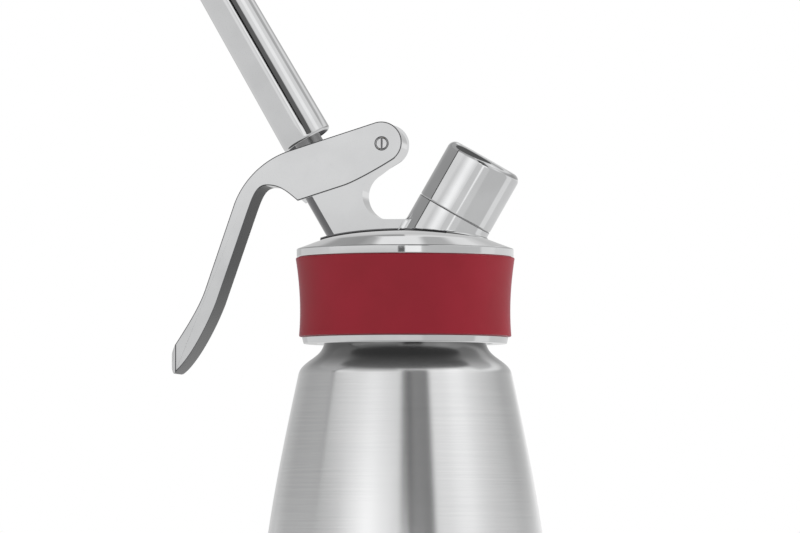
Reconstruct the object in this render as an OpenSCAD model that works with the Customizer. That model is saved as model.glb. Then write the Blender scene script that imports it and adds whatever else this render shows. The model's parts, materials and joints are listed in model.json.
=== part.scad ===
// Whipped cream dispenser: a steel pressure bottle with a screw-on head.
// The head carries a sprung dispensing valve worked by a long trigger lever,
// and a slanted port for a gas charger that is closed by a protective cap.
// Origin: centre of the base. +Z up, nozzle and trigger towards -X, port towards +X.

/* [Bottle] */
// Height of the shoulder above the base
shoulder_h = 137.5; // [128:0.5:150]
// Radius of the bottle at the shoulder
shoulder_r = 34.35; // [33:0.05:36]
// Largest radius of the body
body_r = 47.5; // [44:0.5:52]
// Height at which the body is widest
belly_h = 42; // [36:1:50]
// Radius of the rounded corner at the base
foot_round = 8; // [6:0.5:10]
// Thickness of the drawn steel wall
bottle_wall = 1; // [0.8:0.1:1.4]
// Depth of the dished base
base_dish = 2.5; // [1.5:0.25:3.5]
// Outer radius of the plain neck
neck_r = 26.1; // [25.5:0.1:26.4]
// Height of the flare from shoulder to neck
flare_h = 10.5; // [9.5:0.5:12]
// Length of the threaded neck above the flare
neck_len = 18; // [17:0.5:19]
// Radius of the mouth
mouth_r = 23.6; // [22.5:0.1:24]
// Height of a thread ridge on the neck
neck_ridge = 1.7; // [1.2:0.1:1.8]

/* [Head] */
// How far the bright rim above the band stands out past the recess
rim_ledge = 3.4; // [3.1:0.1:3.9]
// Height of that rim
rim_h = 2.9; // [2.4:0.1:3.4]
// How far the narrow rim under the band stands out past the recess
lower_rim_ledge = 1.7; // [1.5:0.1:2.5]
// Height of the rim under the band
lower_rim_h = 2; // [1.8:0.1:2.6]
// Thickness of the band at its top edge
band_t = 3.7; // [3.3:0.1:4.5]
// Height of the recess that holds the band
band_h = 25.8; // [24:0.2:28]
// Radius of the recess under the band
band_seat_r = 31.5; // [31:0.1:32]
// Radius of the dome at its foot
dome_r = 32; // [31:0.5:33]
// Rise of the dome above the rim
dome_h = 5.6; // [4.5:0.1:6.5]
// Thickness of the dome
dome_wall = 4.2; // [3.6:0.1:5]
// Slant of the valve and of the port from upright
slant = 30; // [28:1:32]

/* [Valve] */
// Distance of the lever's pin behind the bottle's axis
pin_back = 6.4; // [5.8:0.1:7]
// Height of the pin above the rim
pin_up = 33.4; // [32.5:0.1:34.5]
// Distance from the pin to the axis of the valve
valve_reach = 21.1; // [20.5:0.1:21.6]
// Radius of the valve housing
housing_r = 10.1; // [9.8:0.1:10.4]
// Half the thickness of the housing, arm and ear
arm_half = 7.3; // [7.1:0.1:7.5]
// Radius of the valve stem
stem_r = 3.2; // [3:0.05:3.4]
// Radius of the flow bore in the stem
flow_r = 2; // [1.7:0.1:2.2]
// Travel of the valve stem
stroke = 3.1; // [2.6:0.1:3.2]
// Wire thickness of the return spring
wire_d = 1; // [0.8:0.1:1.2]
// Turns of the return spring
spring_turns = 5; // [4:1:6]

/* [Lever] */
// Thickness of each cheek of the lever
cheek = 1.4; // [1.2:0.1:1.8]
// Radius of the lever's end round the pin
lever_end_r = 6.7; // [6.5:0.1:6.9]
// Radius of the trigger's tip, seen from above
tip_plan_r = 18; // [14:1:30]
// Radius of the pivot screw
pivot_r = 1.95; // [1.8:0.05:2.2]
// Width of the screwdriver slot
slot_w = 0.65; // [0.5:0.05:0.8]

/* [Decorator tip] */
// Length of the decorator tip
tip_len = 70; // [64:1:78]
// Outer radius at its foot
tip_foot_r = 8.25; // [8:0.05:8.4]
// Outer radius where its mouth begins to draw in
tip_neck_r = 7.6; // [7.4:0.05:7.8]
// Outer radius of its mouth
tip_mouth_r = 5.4; // [5:0.1:6]
// Wall thickness of the tip
tip_wall = 1.2; // [1:0.1:1.4]
// Number of notches in its mouth, in opposite pairs
tip_notches = 8; // [6:2:10]
// Height of the tip's foot above the foot of the pin's offset, along the valve
tip_start = 14.7; // [14.2:0.1:15.2]

/* [Charger port] */
// Distance of the port's seat in front of the bottle's axis
port_x = 16.2; // [15.8:0.1:16.8]
// Height of the port's seat above the rim
port_up = 11.2; // [11:0.1:11.8]
// Radius of the port and its cap
port_r = 12.75; // [12.4:0.05:13]
// Height of the protective cap
cap_h = 20.2; // [18.5:0.1:22]
// Rounding of the cap's top edge
cap_round = 2.5; // [1.5:0.1:3]
// Radius over the port's thread
port_thread_r = 10.6; // [10.2:0.1:10.8]
// Length of the threaded boss
boss_len = 10.5; // [9.5:0.1:11.5]
// Radius of the socket for the charger's neck
socket_r = 5; // [4.8:0.1:5.2]

/* [Hidden] */

// Clearances
running = 0.05;
seat_gap = 0.1;
side_gap = 0.3;
thread_gap = 0.4;

// Fineness of round things
smooth = 96;
fine = 48;
curve_steps = 12;

// Levels of the bottle and head, from the base up
neck_z = shoulder_h + flare_h;
lip_z = neck_z + neck_len;
head_z = neck_z - 0.6;
band_z = head_z + lower_rim_h;
rim_z = band_z + band_h;
rim_top = rim_z + rim_h;
crown_z = rim_top + dome_h;
cavity_top = crown_z - dome_wall - 3;

// Sizes that follow from the ones above
rim_r = band_seat_r + rim_ledge;
lower_rim_r = band_seat_r + lower_rim_ledge;
band_r = band_seat_r + band_t;
ridge_r = neck_r + neck_ridge;
thread_bore_r = ridge_r + thread_gap;
gasket_t = 2;
gasket_z = lip_z + seat_gap;
cavity_r = mouth_r + 1.4;
pin = [-pin_back, rim_top + pin_up];
along = [-sin(slant), cos(slant)];
across = [cos(slant), sin(slant)];
foot = pin - valve_reach * across;
port = [port_x, rim_top + port_up];

// Places along the valve's axis, counted from its point nearest to the pin
housing_top = -2;
bush_len = 7;
chamber_r = 6.1;
collar_s = housing_top - bush_len - seat_gap;
collar_t = 1.5;
chamber_end = -26;
spring_seat_t = 0.8;
valve_seat_s = -33;
seal_t = 1.8;
valve_disc_t = 1.5;
flange_s = 1.5;
flange_t = 1.5;
washer_t = 2;
washer_top = flange_s + flange_t + washer_t;
washer_r = 6.6;
web_s = washer_top + 0.7;
upper_stem_r = 4.4;
tip_thread_s = tip_start + 6.3;
stem_top = tip_thread_s + 10;
oring_d = 1.3;
oring_low_s = -28.5;
oring_high_s = -5.5;

// The lever
squeeze = 8.5;
lever_half = arm_half + side_gap + cheek;

// Round bay between the arm and the port
bay = pin + [1.5, -16.3];
bay_r = 7.95;

// Places along the port's axis, counted from the seat of the cap
socket_floor = 1.2;
pin_flange_s = -4;
pin_flange_t = 1.4;
pocket_r = 4.2;
filter_pocket_r = 3;
filter_floor = -10;
gas_r = 1.2;

// A cubic curve through two end points, pulled by two handles
function curve(a, b, c, d, n = curve_steps) =
    [for (i = [0:n]) let (t = i / n, u = 1 - t)
        u * u * u * a + 3 * u * u * t * b + 3 * u * t * t * c + t * t * t * d];

// A stretch of a circle
function bow(c, r, from, to, n = 8) =
    [for (i = [0:n]) let (a = from + (to - from) * i / n) c + r * [cos(a), sin(a)]];

// Points of a profile in reverse order
function reversed(list) = [for (i = [len(list) - 1:-1:0]) list[i]];

// The same points drawn in by the wall
function drawn_in(list, by, down) = [for (p = list) p - [by, down]];

// Puts its children on the valve's slanted axis
module on_valve(s = 0) {
    translate([foot[0], 0, foot[1]]) rotate([0, -slant, 0]) translate([0, 0, s]) children();
}

// Puts its children on the port's slanted axis
module on_port(s = 0) {
    translate([port[0], 0, port[1]]) rotate([0, slant, 0]) translate([0, 0, s]) children();
}

// Puts an outline drawn in X and Z upright, with equal thickness to both sides
module upright(half) {
    translate([0, half, 0]) rotate([90, 0, 0]) linear_extrude(2 * half) children();
}

// A flat ring
module ring(r_out, r_in, h, sides = fine) {
    difference() {
        cylinder(r = r_out, h = h, $fn = sides);
        translate([0, 0, -1]) cylinder(r = r_in, h = h + 2, $fn = sides);
    }
}

// A rubber ring of round section
module oring(r_mid, d) {
    rotate_extrude($fn = fine) translate([r_mid, 0]) circle(d = d, $fn = 24);
}

// The bottle's outer line, from the neck down to the belly
flare_line = curve([neck_r, neck_z], [neck_r + 0.2, neck_z - 5.2],
                   [shoulder_r - 0.9, shoulder_h + 4.6], [shoulder_r, shoulder_h]);
body_drop = shoulder_h - belly_h;
body_line = curve([shoulder_r, shoulder_h], [shoulder_r + 0.074 * body_drop, shoulder_h - 0.345 * body_drop],
                  [body_r, belly_h + 0.345 * body_drop], [body_r, belly_h], 20);
foot_r = body_r - 1;
foot_line = curve([body_r, belly_h], [body_r, belly_h - 12], [foot_r + 0.2, foot_round + 10],
                  [foot_r, foot_round], 6);
foot_corner = bow([foot_r - foot_round, foot_round], foot_round, 0, -90);

module bottle() {
    ridge_pitch = 4;
    ridges = 3;
    stand_r = foot_r - foot_round;
    inner_floor = base_dish + bottle_wall;
    color("silver") rotate_extrude($fn = smooth) polygon(concat(
        [[mouth_r, lip_z - 0.6], [mouth_r + 0.6, lip_z], [neck_r - 0.6, lip_z], [neck_r, lip_z - 0.6]],
        [for (i = [0:ridges - 1], p = [[0, 1.1], [neck_ridge, 0.4], [neck_ridge, -0.4], [0, -1.1]])
            [neck_r + p[0], lip_z - 4 - i * ridge_pitch + p[1]]],
        flare_line,
        [for (i = [1:len(body_line) - 1]) body_line[i]],
        [for (i = [1:len(foot_line) - 1]) foot_line[i]],
        [for (i = [1:len(foot_corner) - 1]) foot_corner[i]],
        [[stand_r - 3, 0], [stand_r - 6, base_dish], [0, base_dish]],
        [[0, inner_floor], [stand_r - 6.4, inner_floor], [stand_r - 3.4, bottle_wall]],
        reversed([for (p = foot_corner)
            let (c = [foot_r - foot_round, foot_round]) c + (p - c) * (foot_round - bottle_wall) / foot_round]),
        reversed(drawn_in([for (i = [0:len(foot_line) - 2]) foot_line[i]], bottle_wall, 0)),
        reversed(drawn_in([for (i = [1:len(body_line) - 2]) body_line[i]], bottle_wall, 0)),
        reversed(drawn_in([for (i = [2:len(flare_line) - 1]) flare_line[i]], bottle_wall, bottle_wall)),
        [[mouth_r, neck_z - 2]]
    ));
}

// The turned part of the head: lower rim, band recess, upper rim, dome and the hollow below
module head_shell() {
    rim_round = 1.6;
    seat_top = gasket_z + gasket_t;
    dome_base = rim_top - 0.7;
    dome = [for (i = [1:10]) let (a = 9 * i)
        [dome_r * cos(a), dome_base + (crown_z - dome_base) * sin(a)]];
    rotate_extrude($fn = smooth) polygon(concat(
        [[thread_bore_r, head_z], [lower_rim_r - 0.6, head_z], [lower_rim_r, head_z + 0.6],
         [lower_rim_r, band_z - 0.4], [lower_rim_r - 0.4, band_z], [band_seat_r, band_z],
         [band_seat_r, rim_z], [rim_r - 0.4, rim_z], [rim_r, rim_z + 0.4]],
        bow([rim_r - rim_round, rim_top - rim_round], rim_round, 0, 90, 6),
        [[dome_r + 0.3, rim_top]],
        dome,
        [[0, cavity_top], [cavity_r - 4, cavity_top], [cavity_r, cavity_top - 4],
         [cavity_r, seat_top], [thread_bore_r, seat_top]]
    ));
}

// Outline of the arm that carries the pin, and of the saddle between arm and port
module arm_outline(ear_r) {
    arm_top = foot + 7.5 * across + housing_top * along;
    axis_low = foot - 27 * along;
    polygon(concat(
        [[axis_low[0], cavity_top + 1], foot + (housing_top - 1) * along, arm_top,
         pin + ear_r * [-0.72, 0.69], pin, pin + ear_r * [0.5, -0.866]],
        bow(bay, bay_r, 120, 270, 12),
        [[port[0] - 4, bay[1] - bay_r], [port[0] - 2, cavity_top + 1]]
    ));
    translate(pin) circle(r = ear_r, $fn = fine);
}

module head_body() {
    ear_r = lever_end_r - 0.6;
    valve_boss_r = 7;
    floor_z = cavity_top + 1;
    color("silver") difference() {
        union() {
            head_shell();
            upright(arm_half) arm_outline(ear_r);
            // Housing, which stays clear of the bay between arm and port
            difference() {
                intersection() {
                    on_valve(valve_seat_s) cylinder(r = housing_r, h = housing_top - valve_seat_s, $fn = smooth);
                    translate([-60, -arm_half, floor_z]) cube([80, 2 * arm_half, 60]);
                }
                upright(arm_half + 1) translate(bay) circle(r = bay_r + 0.4, $fn = fine);
            }
            on_valve(valve_seat_s) cylinder(r = valve_boss_r, h = 12, $fn = fine);
            intersection() {
                on_port(-30) cylinder(r = port_r, h = 30, $fn = smooth);
                translate([-20, -20, floor_z]) cube([60, 40, 40]);
            }
            on_port(-1) cylinder(r = port_thread_r - 0.8, h = boss_len + 1, $fn = fine);
            for (i = [0:2])
                on_port(2.2 + 3 * i) cylinder(r = port_thread_r, h = 1, $fn = fine);
        }
        // Bores of the valve
        on_valve(valve_seat_s - 8) cylinder(r = stem_r + running, h = 20, $fn = fine);
        on_valve(chamber_end) cylinder(r = chamber_r, h = 40, $fn = fine);
        on_valve(oring_low_s - 0.8) cylinder(r = stem_r + running + oring_d + 0.1, h = 1.6, $fn = fine);
        // Bore of the ear
        translate([pin[0], 20, pin[1]]) rotate([90, 0, 0]) cylinder(r = pivot_r + running + 1.2, h = 40, $fn = fine);
        // Socket, pocket of the piercing pin, and gas way
        on_port(socket_floor) cylinder(r = socket_r, h = 20, $fn = fine);
        on_port(pin_flange_s) cylinder(r = pocket_r, h = 8, $fn = fine);
        on_port(filter_floor) cylinder(r = filter_pocket_r, h = 10, $fn = fine);
        on_port(filter_floor - 12) cylinder(r = gas_r, h = 16, $fn = fine);
    }
}

// Silicone band in the recess between the rims, drawn in at its waist
module grip_band() {
    band_gap = 0.3;
    low = band_z + band_gap;
    high = rim_z - band_gap;
    tall = high - low;
    side = curve([band_r, high - 0.6], [band_r - 0.9, high - 0.24 * tall], [band_r - 1.9, high - 0.6 * tall],
                 [band_r - 1.05, low + 0.5], 14);
    color("firebrick") rotate_extrude($fn = smooth) polygon(concat(
        [[band_seat_r + seat_gap, high], [band_r - 0.5, high]], side,
        [[band_r - 1.5, low], [band_seat_r + seat_gap, low]]
    ));
}

// Flat gasket over the bottle's lip, with a tab to pull it out by
module head_gasket() {
    tab_w = 5;
    color("firebrick") difference() {
        union() {
            translate([0, 0, gasket_z]) cylinder(r = thread_bore_r - seat_gap, h = gasket_t - seat_gap, $fn = smooth);
            translate([0, -tab_w / 2, gasket_z]) cube([mouth_r + 1, tab_w, gasket_t - seat_gap]);
        }
        translate([0, 0, gasket_z - 1]) difference() {
            cylinder(r = mouth_r, h = gasket_t + 2, $fn = smooth);
            translate([mouth_r - 4, -tab_w / 2, -1]) cube([6, tab_w, gasket_t + 4]);
        }
    }
}

// Hollow stem with its valve disc below, cross holes, spring shoulder and threaded top
module valve_stem() {
    disc_s = valve_seat_s - seal_t - seat_gap;
    color("gainsboro") on_valve() difference() {
        rotate_extrude($fn = fine) polygon([
            [0, disc_s - valve_disc_t - 1], [3, disc_s - valve_disc_t - 1], [5.8, disc_s - valve_disc_t],
            [5.8, disc_s], [stem_r, disc_s], [stem_r, flange_s], [5, flange_s],
            [5, flange_s + flange_t], [upper_stem_r, flange_s + flange_t],
            [upper_stem_r, tip_thread_s], [4.7, tip_thread_s + 0.6],
            [4.7, stem_top - 0.6], [4.1, stem_top], [0, stem_top]]);
        translate([0, 0, valve_seat_s + 0.4]) cylinder(r = flow_r, h = 80, $fn = fine);
        for (a = [0, 90])
            translate([0, 0, valve_seat_s + 1.8]) rotate([90, 0, a])
                cylinder(r = 1.2, h = 20, center = true, $fn = 24);
    }
}

module valve_seal() {
    color("firebrick") on_valve(valve_seat_s - seal_t) ring(5.6, stem_r + running, seal_t - running);
}

module lower_oring() {
    color("dimgray") on_valve(oring_low_s) oring(stem_r + running + seat_gap + oring_d / 2, oring_d);
}

module upper_oring() {
    color("dimgray") on_valve(oring_high_s) oring(stem_r + running + seat_gap + oring_d / 2, oring_d);
}

// Compression spring as one unbroken round wire, its ends closed by the seats
coil_r = chamber_r - seat_gap - wire_d / 2 - 0.3;
coil_low = chamber_end + spring_seat_t + wire_d / 2 + seat_gap;
coil_high = collar_s - collar_t - wire_d / 2 - seat_gap;
coil_sides = 6;
coil_rings = 8;
coil_pitch = (coil_high - coil_low) / spring_turns;
echo(spring_gap = coil_pitch - wire_d);

module return_spring() {
    n = spring_turns * coil_rings;
    points = [for (i = [0:n], k = [0:coil_sides - 1])
        let (a = 360 * i / coil_rings, b = 360 * k / coil_sides, r = coil_r + wire_d / 2 * cos(b))
            [r * cos(a), r * sin(a), coil_low + (coil_high - coil_low) * i / n + wire_d / 2 * sin(b)]];
    walls = [for (i = [0:n - 1], k = [0:coil_sides - 1])
        let (j = (k + 1) % coil_sides, p = i * coil_sides, q = p + coil_sides)
            each [[p + k, p + j, q + j], [p + k, q + j, q + k]]];
    caps = [for (k = [1:coil_sides - 2])
        each [[0, k + 1, k], [n * coil_sides, n * coil_sides + k, n * coil_sides + k + 1]]];
    color("lightgray") on_valve() polyhedron(points, concat(walls, caps), convexity = 8);
}

module spring_seat() {
    color("gainsboro") on_valve(chamber_end) ring(chamber_r - seat_gap, stem_r + 0.3, spring_seat_t);
}

// Collar pinned to the stem, on which the spring pushes
module spring_collar() {
    color("gainsboro") on_valve(collar_s - collar_t) ring(chamber_r - side_gap, stem_r, collar_t);
}

// Screwed bush that guides the stem and closes the spring chamber
module guide_bush() {
    color("gainsboro") on_valve(housing_top - bush_len) difference() {
        cylinder(r = chamber_r - 0.02, h = bush_len, $fn = fine);
        translate([0, 0, -1]) cylinder(r = stem_r + running, h = bush_len + 2, $fn = fine);
        translate([0, 0, oring_high_s - housing_top + bush_len - 0.8])
            cylinder(r = stem_r + running + oring_d + 0.1, h = 1.6, $fn = fine);
    }
}

// Washer under the lever's fork, through which the lever pushes the stem down
module thrust_washer() {
    color("gainsboro") on_valve(flange_s + flange_t) ring(washer_r, upper_stem_r, washer_t);
}

// Long slim tip: hollow foot, threaded collar, open bore, and a notched mouth that draws in
module decorator_tip() {
    neck_s = tip_len - 14;
    mouth = curve([tip_neck_r, neck_s], [tip_neck_r - 0.1, neck_s + 6], [tip_mouth_r + 1.1, tip_len - 3],
                  [tip_mouth_r, tip_len], 8);
    bore_start = stem_top - tip_start + 1.2;
    recess = tip_thread_s - tip_start;
    thread_r = 4.7 + side_gap;
    notch_w = 2.4;
    notch_d = 9;
    color("gainsboro") on_valve(tip_start) difference() {
        rotate_extrude($fn = 64) polygon(concat(
            [[tip_foot_r - tip_wall + 0.3, 0], [tip_foot_r - 0.7, 0], [tip_foot_r, 0.9]], mouth,
            reversed([for (p = mouth) [p[0] - tip_wall, p[1]]]),
            [[tip_neck_r - tip_wall, bore_start + 4], [flow_r + 1, bore_start + 1.5],
             [flow_r + 1, bore_start], [thread_r, bore_start],
             [thread_r, recess], [tip_foot_r - tip_wall, recess - 1]]
        ));
        for (i = [0:tip_notches / 2 - 1])
            rotate([0, 0, 360 / tip_notches * (i + 0.5)]) translate([0, 0, tip_len + 0.01]) rotate([90, 0, 90])
                linear_extrude(30, center = true)
                    polygon([[-notch_w / 2, 0], [0, -notch_d], [notch_w / 2, 0]]);
    }
}

module tip_gasket() {
    color("dimgray") on_valve(stem_top + seat_gap) ring(4.6, flow_r + 0.4, 0.9);
}

// Outline of the lever, drawn from the pin: fork, bend and trigger
function lever_outline() = let (
    rise = 107.5, dip = -60, end_c = [-0.2, 0.35],
    brow = [-30.1, -2.1], bend = [-48, -19.2], calf = [-57.6, -47.2],
    heel = [-69.5, -68], toe = [-67.8, -73.6], shin = [-53.6, -50.8],
    knee = [-43.7, -22.3], arch = [-37.2, -13.2], nose = [-26.8, -18.2], belly = [-12.1, -13.4])
    [for (p = concat(
        bow(end_c, lever_end_r, dip, rise, 14),
        curve(brow, brow + [-8.6, -2.7], bend + [2.7, 7.5], bend),
        curve(calf, calf + [-2.7, -7.5], heel + [1.8, 3.2], heel, 8),
        curve(heel, heel + [-0.3, -2.2], toe + [-0.9, 0.4], toe, 5),
        curve(toe + [0.5, 0.3], toe + [4.8, 3.4], shin + [-3.4, -8.8], shin, 8),
        curve(knee, knee + [1.9, 5.4], arch + [-3.4, 0.1], arch, 8),
        curve(arch, arch + [4.6, 0], nose + [-3.4, 2.3], nose + [-0.5, 0], 6),
        curve(belly, belly + [3.5, 1.2], end_c + [-1.2, -8.6],
              end_c + lever_end_r * [cos(dip), sin(dip)] + [-0.6, -0.35], 5)
    )) pin + p];

// Hollow between the cheeks: room for housing, arm and washer, closed by a web under the tip
function fork_hollow() = let (
    back = -12, web_end = 9, tilt = tan(squeeze / 2), far = 40)
    [for (q = [[1.5 * back, -far], [back - 1.5, 2.3], [back, web_s - back * tilt], [web_end, web_s - web_end * tilt],
               [web_end, far], [far, far], [far, -far]])
        foot + q[0] * across + q[1] * along];

module lever() {
    stem_hole_r = upper_stem_r + 0.5;
    heel_x = pin[0] - 69.5;
    shift = 1.5;
    color("silver") difference() {
        upright(lever_half) polygon(lever_outline());
        // The tip of the trigger is rounded off to both sides
        difference() {
            translate([heel_x - 10, -lever_half - 1, pin[1] - 80]) cube([20, 2 * lever_half + 2, 25]);
            translate([heel_x + tip_plan_r, 0, pin[1] - 81]) cylinder(r = tip_plan_r, h = 27, $fn = smooth);
        }
        upright(arm_half + side_gap) polygon(fork_hollow());
        // Long hole in the web, so the lever can swing round the stem
        on_valve(2) cylinder(r = stem_hole_r, h = 30, $fn = fine);
        on_valve(2) translate([shift, 0, 0]) cylinder(r = stem_hole_r, h = 30, $fn = fine);
        on_valve(2) translate([0, -stem_hole_r, 0]) cube([shift, 2 * stem_hole_r, 30]);
        translate([pin[0], 20, pin[1]]) rotate([90, 0, 0]) cylinder(r = pivot_r + running, h = 40, $fn = fine);
        translate([pin[0], -lever_half + 0.4, pin[1]]) rotate([90, 0, 0])
            cylinder(r1 = pivot_r + running, r2 = pivot_r + 0.45, h = 0.41, $fn = fine);
    }
}

// Slotted screw that the lever turns on, flush with both cheeks
module pivot_screw() {
    color("gray") difference() {
        translate([pin[0], lever_half - 0.1, pin[1]]) rotate([90, 0, 0])
            cylinder(r = pivot_r, h = 2 * lever_half - 0.2, $fn = fine);
        translate([pin[0] - slot_w / 2, -lever_half, pin[1] - 5]) cube([slot_w, 0.8, 10]);
    }
}

module pivot_bush() {
    color("goldenrod") translate([pin[0], arm_half, pin[1]]) rotate([90, 0, 0])
        ring(pivot_r + running + 1.2, pivot_r + running, 2 * arm_half);
}

// Hollow needle that opens the charger, on a flange
module piercing_pin() {
    color("gainsboro") on_port(pin_flange_s) difference() {
        rotate_extrude($fn = 32) polygon([
            [0, 0], [pocket_r - seat_gap, 0], [pocket_r - seat_gap, pin_flange_t], [1.5, pin_flange_t],
            [1.1, 6], [0, 7.6]]);
        translate([0, 0, -1]) cylinder(r = 0.45, h = 6, $fn = 16);
        translate([0, 0, 4]) rotate([90, 0, 0]) cylinder(r = 0.4, h = 6, center = true, $fn = 16);
    }
}

module charger_gasket() {
    color("dimgray") on_port(socket_floor) ring(socket_r - seat_gap, 2, 2);
}

module gas_filter() {
    color("tan") on_port(pin_flange_s - 2.2) cylinder(r = filter_pocket_r - seat_gap, h = 2, $fn = 32);
}

// Rubber flap that lets gas in and keeps cream out
module check_valve() {
    color("firebrick") on_port(filter_floor + seat_gap) rotate_extrude($fn = 32) polygon([
        [0, 0], [1.6, 0], [2.8, 0.9], [2.8, 1.5], [1.2, 1.7], [1, 3], [0, 3]]);
}

module protective_cap() {
    seam = 0.15;
    bore_r = port_thread_r + thread_gap;
    bore_depth = boss_len + 2.3;
    color("silver") on_port(seam) difference() {
        rotate_extrude($fn = smooth) polygon(concat(
            [[0, 0], [port_r - 0.3, 0], [port_r, 0.3]],
            bow([port_r - cap_round, cap_h - cap_round], cap_round, 0, 90, 8),
            [[0, cap_h]]));
        translate([0, 0, -1]) cylinder(r = bore_r, h = bore_depth + 1, $fn = smooth);
    }
}

module cap_liner() {
    color("firebrick") on_port(boss_len + side_gap) cylinder(r = port_thread_r, h = 2, $fn = fine);
}

bottle();
head_body();
grip_band();
head_gasket();
valve_stem();
valve_seal();
lower_oring();
upper_oring();
return_spring();
spring_seat();
spring_collar();
guide_bush();
thrust_washer();
decorator_tip();
tip_gasket();
lever();
pivot_screw();
pivot_bush();
piercing_pin();
charger_gasket();
gas_filter();
check_valve();
protective_cap();
cap_liner();
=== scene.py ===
"""Looks of the whipped cream dispenser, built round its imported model."""

import json
import math

import bmesh
import bpy
from mathutils import Matrix, Vector

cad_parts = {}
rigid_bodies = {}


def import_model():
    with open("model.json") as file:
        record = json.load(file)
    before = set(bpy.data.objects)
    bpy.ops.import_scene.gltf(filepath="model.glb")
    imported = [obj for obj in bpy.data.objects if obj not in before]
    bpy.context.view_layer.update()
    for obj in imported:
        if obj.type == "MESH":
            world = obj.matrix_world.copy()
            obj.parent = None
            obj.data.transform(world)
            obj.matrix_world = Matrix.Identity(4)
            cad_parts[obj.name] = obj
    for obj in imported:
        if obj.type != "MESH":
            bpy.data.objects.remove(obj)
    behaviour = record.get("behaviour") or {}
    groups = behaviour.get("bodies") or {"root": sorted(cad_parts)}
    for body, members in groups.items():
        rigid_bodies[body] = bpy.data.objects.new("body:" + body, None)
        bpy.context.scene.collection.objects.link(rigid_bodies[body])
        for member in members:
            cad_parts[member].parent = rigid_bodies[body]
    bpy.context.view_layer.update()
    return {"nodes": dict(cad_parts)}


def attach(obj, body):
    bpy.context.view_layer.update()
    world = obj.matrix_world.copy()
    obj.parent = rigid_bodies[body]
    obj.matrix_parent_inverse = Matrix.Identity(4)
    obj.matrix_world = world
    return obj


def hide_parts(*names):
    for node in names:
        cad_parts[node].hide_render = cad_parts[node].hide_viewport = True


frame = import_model()

MM = 0.001

# Camera: 2 m away, 8 degrees towards the port's side, with a long lens; lengths in mm
VIEW_TURN = math.radians(8)
VIEW_DISTANCE = 2000
VIEW_HEIGHT = 93
VIEW_OFFSET = -1.672
FRONT_AXIS = Vector((math.sin(VIEW_TURN), -math.cos(VIEW_TURN), 0))
SIDE_AXIS = Vector((math.cos(VIEW_TURN), math.sin(VIEW_TURN), 0))
PHOTO_WIDTH = 800
FOCAL_PIXELS = 6220
SENSOR_WIDTH = 36
LENS = FOCAL_PIXELS / PHOTO_WIDTH * SENSOR_WIDTH
VIEW_PITCH = math.atan(246.6 / FOCAL_PIXELS)

# Levels above the base and radii of the bottle and the head, in mm
SHOULDER_Z = 137.5
SHOULDER_R = 34.35
BELLY_Z = 42
BELLY_R = 47.49
NECK_R = 26.1
NECK_Z = 148
LIP_Z = 166
MOUTH_R = 23.6
HEAD_Z = 147.4
BAND_Z = 149.4
RIM_Z = 175.2
CROWN_Z = 183.7
CAVITY_TOP = 176.5
RIM_R = 34.9
DOME_R = 32
DOME_BASE = 177.4
CROWN_RISE = CROWN_Z - DOME_BASE
CROWN_REACH = 27
SKIRT_SLOPE = 0.37
SADDLE_Z = 187.25

# Slanted axes: the pin, the foot of the valve's axis, and the seat of the port
SLANT = math.radians(30)
PIN = Vector((-6.4, 211.5))
ALONG = Vector((-0.5, 0.8660254))
ACROSS = Vector((0.8660254, 0.5))
FOOT = PIN - 21.1 * ACROSS
PORT = Vector((16.2, 189.3))
ARM_HALF = 7.3
LEVER_HALF = 9.0
HEEL_X = -69.5
PORT_R = 12.75

# Steps round the large turned bodies
ROUND_STEPS = 192

# Numbers of a piece's second and third material, which carry painted shade
PAINTED_SHADE_SLOT = 1
INNER_SHADE_SLOT = 2


# ---------------------------------------------------------------- shader maths

class Value:
    """A socket that can be used in sums and products like a number."""

    def __init__(self, tree, socket):
        self.tree = tree
        self.socket = socket

    def math(self, operation, *others):
        return self.tree.node("ShaderNodeMath", {"operation": operation}, [self, *others])

    def __add__(self, other):
        return self.math("ADD", other)

    __radd__ = __add__

    def __sub__(self, other):
        return self.math("SUBTRACT", other)

    def __rsub__(self, other):
        return self.tree.node("ShaderNodeMath", {"operation": "SUBTRACT"}, [other, self])

    def __mul__(self, other):
        return self.math("MULTIPLY", other)

    __rmul__ = __mul__

    def __truediv__(self, other):
        return self.math("DIVIDE", other)


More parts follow.
